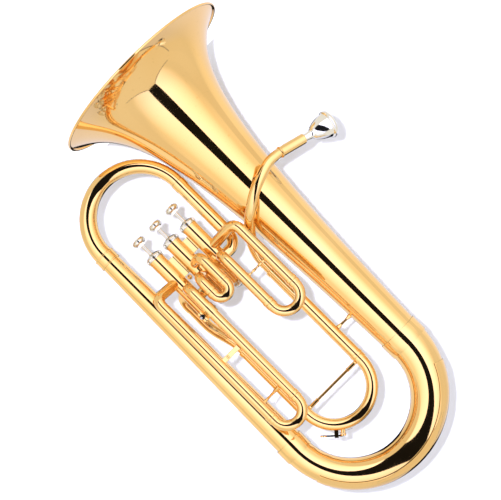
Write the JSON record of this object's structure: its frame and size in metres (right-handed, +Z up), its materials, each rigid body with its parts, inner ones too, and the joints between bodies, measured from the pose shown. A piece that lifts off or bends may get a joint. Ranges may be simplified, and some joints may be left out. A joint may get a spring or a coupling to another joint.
{
  "type": "baritone horn",
  "caption": "Upright piston-valve baritone horn in lacquered brass, standing on its bell, with sprung valves, pull slides, a water key and a removable mouthpiece.",
  "frame": {"origin": "centre of the bell mouth, in the plane that the rolled rim stands on", "axes": "+Z up along the bell axis, from the mouth to the bottom bow; +X from the bell to the main branch; -Y the side that carries the valve slides"},
  "size_m": [0.3674, 0.275, 0.629],
  "materials": {
    "brass_lacquer": "clear lacquered, mirror polish",
    "nickel_plate": "polished nickel plate",
    "silver_plate": "polished silver plate",
    "monel": "honed",
    "felt": "pressed felt",
    "spring_steel": "drawn wire",
    "cork": "fine natural cork"
  },
  "bodies": {
    "horn": {"bell": "brass_lacquer", "bell_rim_wire": "brass_lacquer", "bell_ferrule": "brass_lacquer", "bottom_bow": "brass_lacquer", "bow_guard": "brass_lacquer", "branch_ferrule": "brass_lacquer", "main_branch": "brass_lacquer", "top_bow": "brass_lacquer", "top_bow_ferrules": "brass_lacquer", "top_bow_leg": "brass_lacquer", "valve_1_casing": "brass_lacquer", "valve_2_casing": "brass_lacquer", "valve_3_casing": "brass_lacquer", "valve_1_top_cap": "nickel_plate", "valve_2_top_cap": "nickel_plate", "valve_3_top_cap": "nickel_plate", "valve_1_bottom_cap": "nickel_plate", "valve_2_bottom_cap": "nickel_plate", "valve_3_bottom_cap": "nickel_plate", "valve_knuckles": "brass_lacquer", "valve_bridges": "brass_lacquer", "inlet_elbow": "brass_lacquer", "inlet_tube": "brass_lacquer", "leadpipe": "brass_lacquer", "mouthpiece_receiver": "brass_lacquer", "first_slide_sleeves": "brass_lacquer", "second_slide_sleeves": "brass_lacquer", "third_slide_sleeves": "brass_lacquer", "tuning_slide_sleeves": "brass_lacquer", "bell_stay": "brass_lacquer", "slide_stays": "brass_lacquer", "lyre_socket": "brass_lacquer", "lyre_screw": "nickel_plate", "valve_1_spring": "spring_steel", "valve_2_spring": "spring_steel", "valve_3_spring": "spring_steel"},
    "valve_1": {"valve_1_piston": "monel", "valve_1_stem": "nickel_plate", "valve_1_button": "nickel_plate", "valve_1_felt": "felt"},
    "valve_2": {"valve_2_piston": "monel", "valve_2_stem": "nickel_plate", "valve_2_button": "nickel_plate", "valve_2_felt": "felt"},
    "valve_3": {"valve_3_piston": "monel", "valve_3_stem": "nickel_plate", "valve_3_button": "nickel_plate", "valve_3_felt": "felt"},
    "first_slide": {"first_slide": "brass_lacquer"},
    "second_slide": {"second_slide": "brass_lacquer"},
    "third_slide": {"third_slide": "brass_lacquer"},
    "tuning_slide": {"tuning_slide": "brass_lacquer", "tuning_slide_brace": "brass_lacquer", "water_key_seat": "brass_lacquer"},
    "water_key": {"water_key_lever": "brass_lacquer", "water_key_pad": "cork", "water_key_spring": "spring_steel"},
    "mouthpiece": {"mouthpiece": "silver_plate"}
  },
  "joints": [
    {"name": "valve_1_press", "type": "slide", "parent": "horn", "child": "valve_1", "axis": [0, 0, 1], "range_m": [0, 0.016], "stiffness_N_per_m": 200, "springref_m": -0.012, "deforming": ["valve_1_spring"]},
    {"name": "valve_2_press", "type": "slide", "parent": "horn", "child": "valve_2", "axis": [0, 0, 1], "range_m": [0, 0.016], "stiffness_N_per_m": 200, "springref_m": -0.012, "deforming": ["valve_2_spring"]},
    {"name": "valve_3_press", "type": "slide", "parent": "horn", "child": "valve_3", "axis": [0, 0, 1], "range_m": [0, 0.016], "stiffness_N_per_m": 200, "springref_m": -0.012, "deforming": ["valve_3_spring"]},
    {"name": "first_slide_pull", "type": "slide", "parent": "horn", "child": "first_slide", "axis": [0, 0, 1], "range_m": [0, 0.06]},
    {"name": "second_slide_pull", "type": "slide", "parent": "horn", "child": "second_slide", "axis": [0, 0, 1], "range_m": [0, 0.008]},
    {"name": "third_slide_pull", "type": "slide", "parent": "horn", "child": "third_slide", "axis": [0, 0, 1], "range_m": [0, 0.12]},
    {"name": "tuning_slide_pull", "type": "slide", "parent": "horn", "child": "tuning_slide", "axis": [0, 0, 1], "range_m": [0, 0.024]},
    {"name": "water_key_lift", "type": "hinge", "parent": "tuning_slide", "child": "water_key", "pos_m": [0.15553, 0.002, 0.5261], "axis": [0, 1, 0], "range_deg": [0, 18], "stiffness_Nm_per_rad": 0.02, "springref_deg": -34.38},
    {"name": "mouthpiece_pull", "type": "slide", "parent": "horn", "child": "mouthpiece", "axis": [-0.9212, 0.3311, 0.2042], "range_m": [0, 0.026]}
  ]
}
